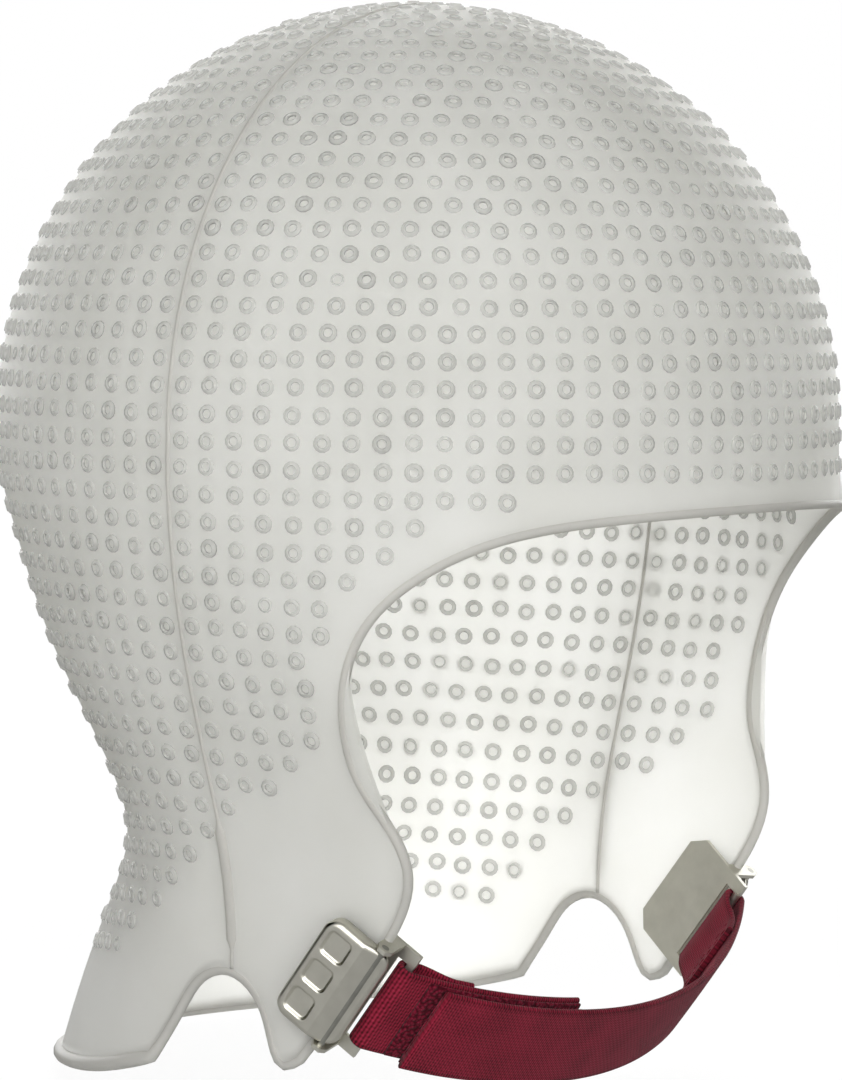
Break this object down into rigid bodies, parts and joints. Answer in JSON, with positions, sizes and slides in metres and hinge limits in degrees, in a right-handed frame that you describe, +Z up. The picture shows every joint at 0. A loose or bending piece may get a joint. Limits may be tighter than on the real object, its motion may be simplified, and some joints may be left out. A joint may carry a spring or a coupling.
{
  "type": "highlighting cap",
  "caption": "Silicone hair-highlighting cap with rows of hook dimples, face opening, ear arches, nape tail and a hook-and-loop chin strap on metal clips.",
  "frame": {"origin": "centre of the head cavity, on the symmetry plane, level with the widest part of the dome", "axes": "+Z up to the crown, -Y out through the face opening, +X to the wearer's left"},
  "size_m": [0.178, 0.175, 0.2219],
  "materials": {
    "silicone": "milky translucent silicone, satin",
    "steel": "satin steel",
    "nickel": "satin nickel plate on pressed steel",
    "webbing": "ribbed woven nylon",
    "pile": "brushed loop pile",
    "hook": "moulded hook tape",
    "thread": "polyester sewing thread"
  },
  "bodies": {
    "cap": {"cap_shell": "silicone", "clip_back_right": "steel", "clip_pin_right": "steel", "clip_back_left": "steel", "clip_pin_left": "steel"},
    "front_right": {"clip_front_right": "nickel"},
    "front_left": {"clip_front_left": "nickel"},
    "short_strap": {"strap_short": "webbing", "loop_tape": "pile", "stitching_short": "thread"},
    "long_strap": {"strap_long": "webbing", "hook_tape": "hook", "stitching_long": "thread"}
  },
  "joints": [
    {"name": "clip_open_right", "type": "hinge", "parent": "cap", "child": "front_right", "pos_m": [-0.06842, -0.03503, -0.10841], "axis": [0, -0.6018, 0.7986], "range_deg": [0, 70]},
    {"name": "clip_open_left", "type": "hinge", "parent": "cap", "child": "front_left", "pos_m": [0.06842, -0.03503, -0.10841], "axis": [0, 0.6018, -0.7986], "range_deg": [0, 70]},
    {"name": "short_strap_swing", "type": "hinge", "parent": "cap", "child": "short_strap", "pos_m": [-0.06117, -0.03771, -0.11043], "axis": [0, -0.6018, 0.7986], "range_deg": [0, 20]},
    {"name": "long_strap_open", "type": "hinge", "parent": "cap", "child": "long_strap", "pos_m": [0.06117, -0.03771, -0.11043], "axis": [0, -0.6018, 0.7986], "range_deg": [0, 60]}
  ]
}
